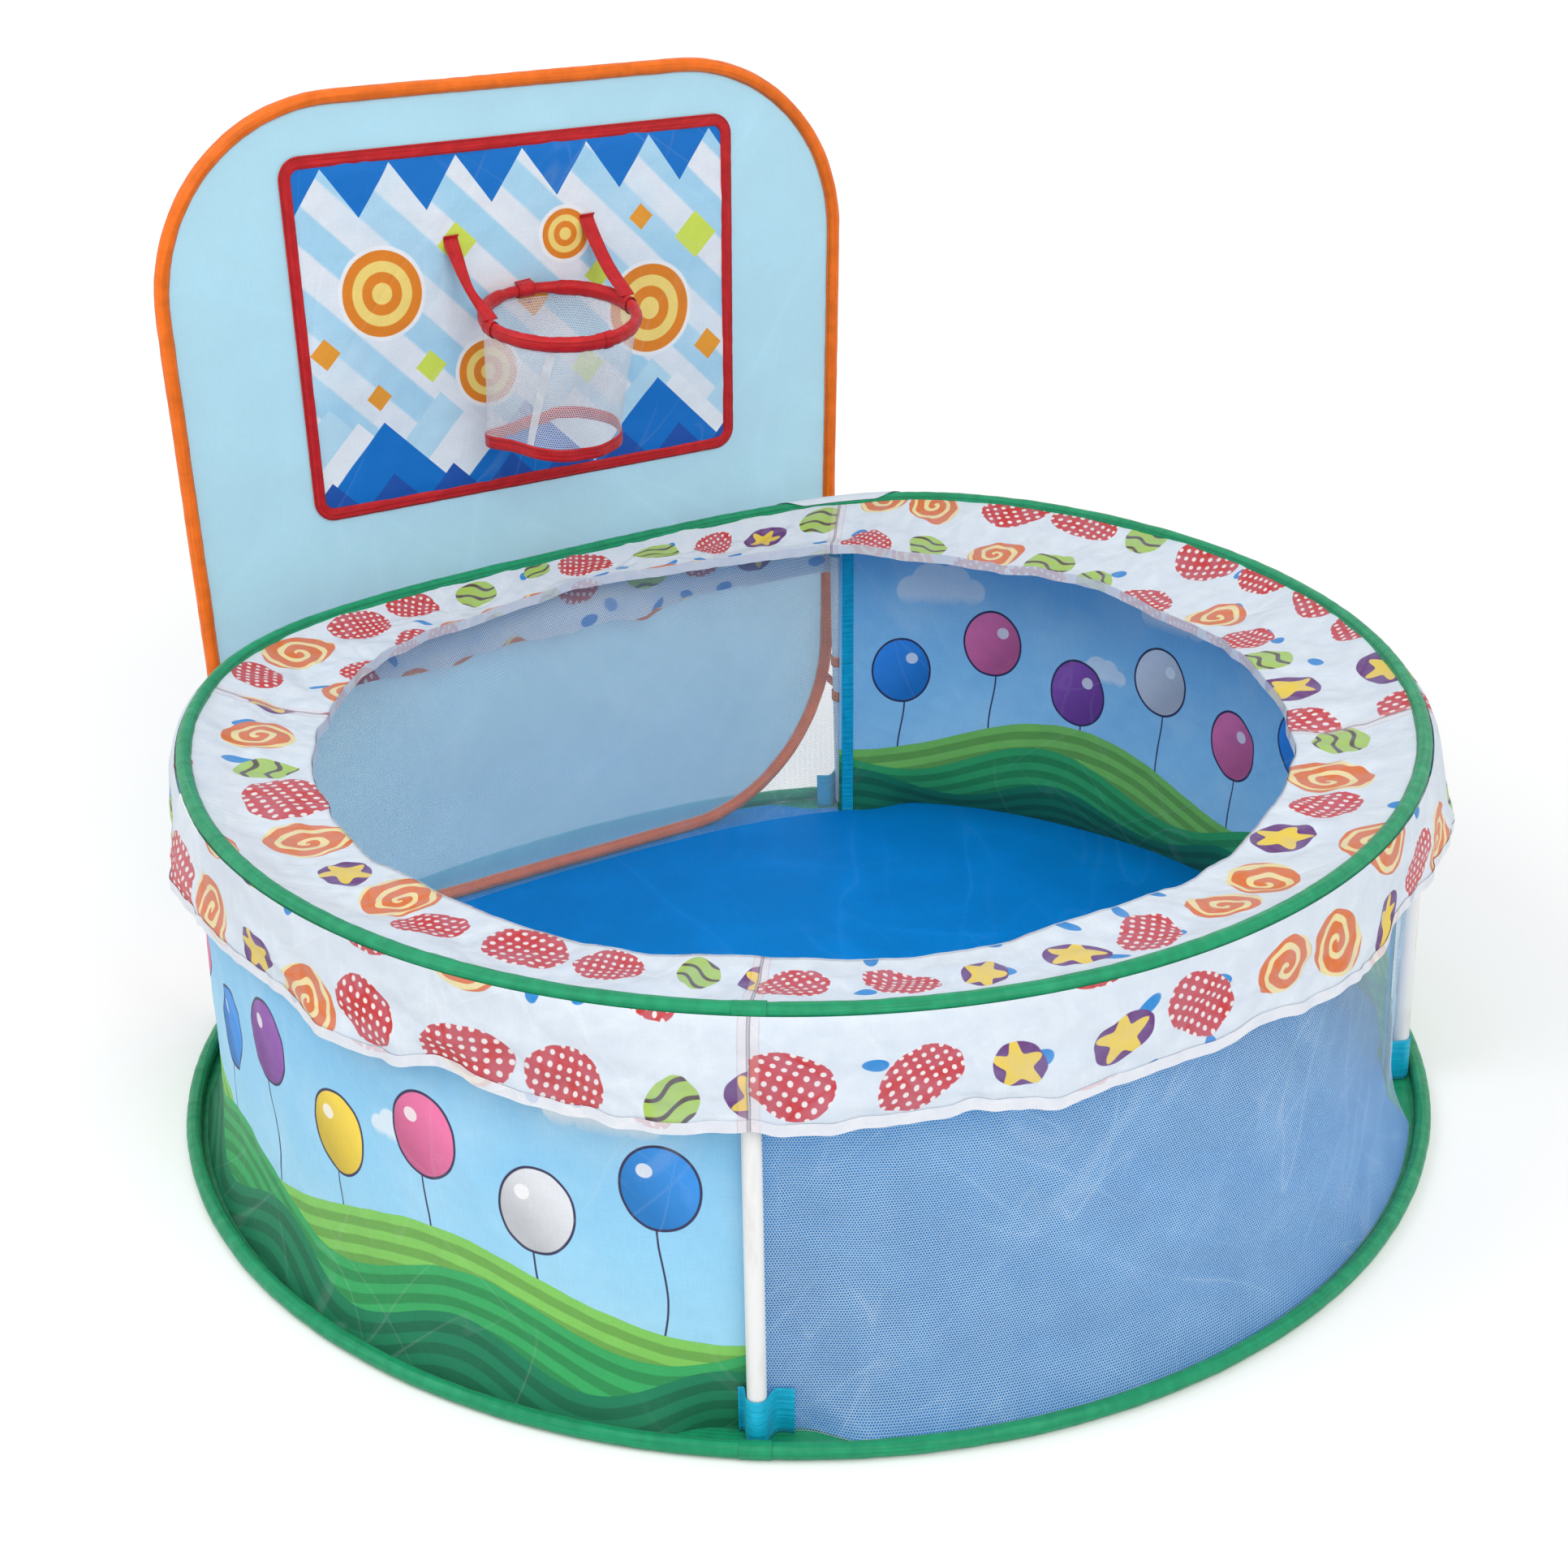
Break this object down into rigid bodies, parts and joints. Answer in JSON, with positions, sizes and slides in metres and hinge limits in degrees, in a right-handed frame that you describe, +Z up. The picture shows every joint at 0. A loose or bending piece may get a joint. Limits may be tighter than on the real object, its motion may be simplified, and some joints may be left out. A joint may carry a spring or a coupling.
{
  "type": "pop-up ball pool",
  "caption": "Round pop-up ball pool with cloth and mesh walls between two sprung hoops, upright poles, and a rear throwing board with a small net hoop.",
  "frame": {"origin": "on the ground, under the middle of the pool's floor", "axes": "+Z up, +Y from the open front towards the throwing board, +X to the right seen from the front"},
  "size_m": [1.1978, 1.1562, 0.8903],
  "materials": {
    "base_hoop_wire": "spring steel wire",
    "base_hoop_ferrule": "crimped steel tube",
    "base_hoop_sleeve": "green satin binding",
    "floor_sheet": "coated blue cloth",
    "wall_mesh_front": "fine pale blue mesh",
    "wall_mesh_rear": "fine pale blue mesh",
    "wall_print_left": "printed cloth, sky and garden",
    "wall_print_right": "printed cloth, sky and garden",
    "wall_hem_left_front": "cyan satin binding",
    "wall_hem_left_rear": "cyan satin binding",
    "wall_hem_right_front": "cyan satin binding",
    "wall_hem_right_rear": "cyan satin binding",
    "foot_pocket_front_left": "cyan satin",
    "foot_pocket_front_right": "cyan satin",
    "foot_pocket_rear_left": "cyan satin",
    "foot_pocket_rear_right": "cyan satin",
    "top_hoop_wire": "spring steel wire",
    "top_hoop_ferrule": "crimped steel tube",
    "top_hoop_sleeve": "green satin binding",
    "valance": "white cloth with a coloured print",
    "valance_hem": "white sewn hem",
    "skirt": "white cloth with a coloured print",
    "skirt_hem": "white sewn hem",
    "top_pocket_front_left": "cyan satin",
    "top_pocket_front_right": "cyan satin",
    "top_pocket_rear_left": "cyan satin",
    "top_pocket_rear_right": "cyan satin",
    "pole_front_left": "white plastic tube",
    "pole_front_right": "white plastic tube",
    "pole_rear_left": "white plastic tube",
    "pole_rear_right": "white plastic tube",
    "pole_foot_plug_front_left": "white moulded plug",
    "pole_foot_plug_front_right": "white moulded plug",
    "pole_foot_plug_rear_left": "white moulded plug",
    "pole_foot_plug_rear_right": "white moulded plug",
    "pole_head_plug_front_left": "white moulded plug",
    "pole_head_plug_front_right": "white moulded plug",
    "pole_head_plug_rear_left": "white moulded plug",
    "pole_head_plug_rear_right": "white moulded plug",
    "board_wire": "spring steel wire",
    "board_ferrule": "crimped steel tube",
    "board_binding": "orange satin binding",
    "board_panel": "pale blue cloth",
    "target_print": "printed cloth",
    "target_tape": "red tape",
    "board_tie_rear_left_low": "orange satin tie",
    "board_tie_rear_left_high": "orange satin tie",
    "board_tie_rear_right_low": "orange satin tie",
    "board_tie_rear_right_high": "orange satin tie",
    "rim_tab": "red tape",
    "rim_strap_left": "red tape",
    "rim_strap_right": "red tape",
    "rim_wire": "spring steel wire",
    "rim_sleeve": "red satin binding",
    "net": "fine white mesh",
    "net_hem": "red tape"
  },
  "bodies": {
    "base": {"base_hoop_wire": "base_hoop_wire", "base_hoop_ferrule": "base_hoop_ferrule", "base_hoop_sleeve": "base_hoop_sleeve", "floor_sheet": "floor_sheet", "wall_mesh_front": "wall_mesh_front", "wall_mesh_rear": "wall_mesh_rear", "wall_print_left": "wall_print_left", "wall_print_right": "wall_print_right", "wall_hem_left_front": "wall_hem_left_front", "wall_hem_left_rear": "wall_hem_left_rear", "wall_hem_right_front": "wall_hem_right_front", "wall_hem_right_rear": "wall_hem_right_rear", "foot_pocket_front_left": "foot_pocket_front_left", "foot_pocket_front_right": "foot_pocket_front_right", "foot_pocket_rear_left": "foot_pocket_rear_left", "foot_pocket_rear_right": "foot_pocket_rear_right"},
    "top_hoop": {"top_hoop_wire": "top_hoop_wire", "top_hoop_ferrule": "top_hoop_ferrule", "top_hoop_sleeve": "top_hoop_sleeve", "valance": "valance", "valance_hem": "valance_hem", "skirt": "skirt", "skirt_hem": "skirt_hem", "top_pocket_front_left": "top_pocket_front_left", "top_pocket_front_right": "top_pocket_front_right", "top_pocket_rear_left": "top_pocket_rear_left", "top_pocket_rear_right": "top_pocket_rear_right"},
    "pole_front_left": {"pole_front_left": "pole_front_left", "pole_foot_plug_front_left": "pole_foot_plug_front_left", "pole_head_plug_front_left": "pole_head_plug_front_left"},
    "pole_front_right": {"pole_front_right": "pole_front_right", "pole_foot_plug_front_right": "pole_foot_plug_front_right", "pole_head_plug_front_right": "pole_head_plug_front_right"},
    "pole_rear_right": {"pole_rear_right": "pole_rear_right", "pole_foot_plug_rear_right": "pole_foot_plug_rear_right", "pole_head_plug_rear_right": "pole_head_plug_rear_right", "board_tie_rear_right_low": "board_tie_rear_right_low", "board_tie_rear_right_high": "board_tie_rear_right_high"},
    "pole_rear_left": {"pole_rear_left": "pole_rear_left", "pole_foot_plug_rear_left": "pole_foot_plug_rear_left", "pole_head_plug_rear_left": "pole_head_plug_rear_left", "board_tie_rear_left_low": "board_tie_rear_left_low", "board_tie_rear_left_high": "board_tie_rear_left_high"},
    "backboard": {"board_wire": "board_wire", "board_ferrule": "board_ferrule", "board_binding": "board_binding", "board_panel": "board_panel", "target_print": "target_print", "target_tape": "target_tape", "rim_tab": "rim_tab", "rim_strap_left": "rim_strap_left", "rim_strap_right": "rim_strap_right"},
    "net_hoop": {"rim_wire": "rim_wire", "rim_sleeve": "rim_sleeve", "net": "net", "net_hem": "net_hem"}
  },
  "joints": [
    {"name": "top_hoop_lower", "type": "slide", "parent": "base", "child": "top_hoop", "axis": [0, 0, -1], "range_m": [0, 0.355], "deforming": ["wall_mesh_front", "wall_mesh_rear", "wall_print_left", "wall_print_right", "wall_hem_left_front", "wall_hem_left_rear", "wall_hem_right_front", "wall_hem_right_rear", "skirt", "skirt_hem", "valance", "valance_hem", "top_pocket_front_left", "top_pocket_front_right", "top_pocket_rear_left", "top_pocket_rear_right"]},
    {"name": "pole_front_left_tip", "type": "hinge", "parent": "base", "child": "pole_front_left", "pos_m": [-0.40588, -0.40588, 0.0103], "axis": [-0.7071, 0.7071, 0], "range_deg": [0, 86.9], "deforming": ["foot_pocket_front_left"]},
    {"name": "pole_front_right_tip", "type": "hinge", "parent": "base", "child": "pole_front_right", "pos_m": [0.40588, -0.40588, 0.0103], "axis": [-0.7071, -0.7071, 0], "range_deg": [0, 86.9], "deforming": ["foot_pocket_front_right"]},
    {"name": "pole_rear_right_tip", "type": "hinge", "parent": "base", "child": "pole_rear_right", "pos_m": [0.40139, 0.39759, 0.0103], "axis": [0.6572, -0.7538, 0], "range_deg": [0, 82.3], "deforming": ["foot_pocket_rear_right", "board_tie_rear_right_low", "board_tie_rear_right_high"]},
    {"name": "pole_rear_left_tip", "type": "hinge", "parent": "base", "child": "pole_rear_left", "pos_m": [-0.40576, 0.40542, 0.0103], "axis": [0.6902, 0.7236, 0], "range_deg": [0, 86.6], "deforming": ["foot_pocket_rear_left", "board_tie_rear_left_low", "board_tie_rear_left_high"]},
    {"name": "backboard_tip", "type": "hinge", "parent": "base", "child": "backboard", "pos_m": [0.05227, 0.48985, 0.024], "axis": [-0.9877, 0.1564, 0], "range_deg": [0, 88], "deforming": ["wall_mesh_rear", "board_tie_rear_right_low", "board_tie_rear_right_high", "board_tie_rear_left_low", "board_tie_rear_left_high"]},
    {"name": "net_hoop_fold", "type": "hinge", "parent": "backboard", "child": "net_hoop", "pos_m": [0.05086, 0.48091, 0.668], "axis": [-0.9877, 0.1564, 0], "range_deg": [0, 88], "deforming": ["rim_strap_left", "rim_strap_right", "net", "net_hem"]}
  ],
  "couplings": [
    {"joint": "pole_front_left_tip", "follows": "top_hoop_lower", "rad_per_m": 4.2723},
    {"joint": "pole_front_right_tip", "follows": "top_hoop_lower", "rad_per_m": 4.2723},
    {"joint": "pole_rear_right_tip", "follows": "top_hoop_lower", "rad_per_m": 4.0461},
    {"joint": "pole_rear_left_tip", "follows": "top_hoop_lower", "rad_per_m": 4.2575}
  ]
}
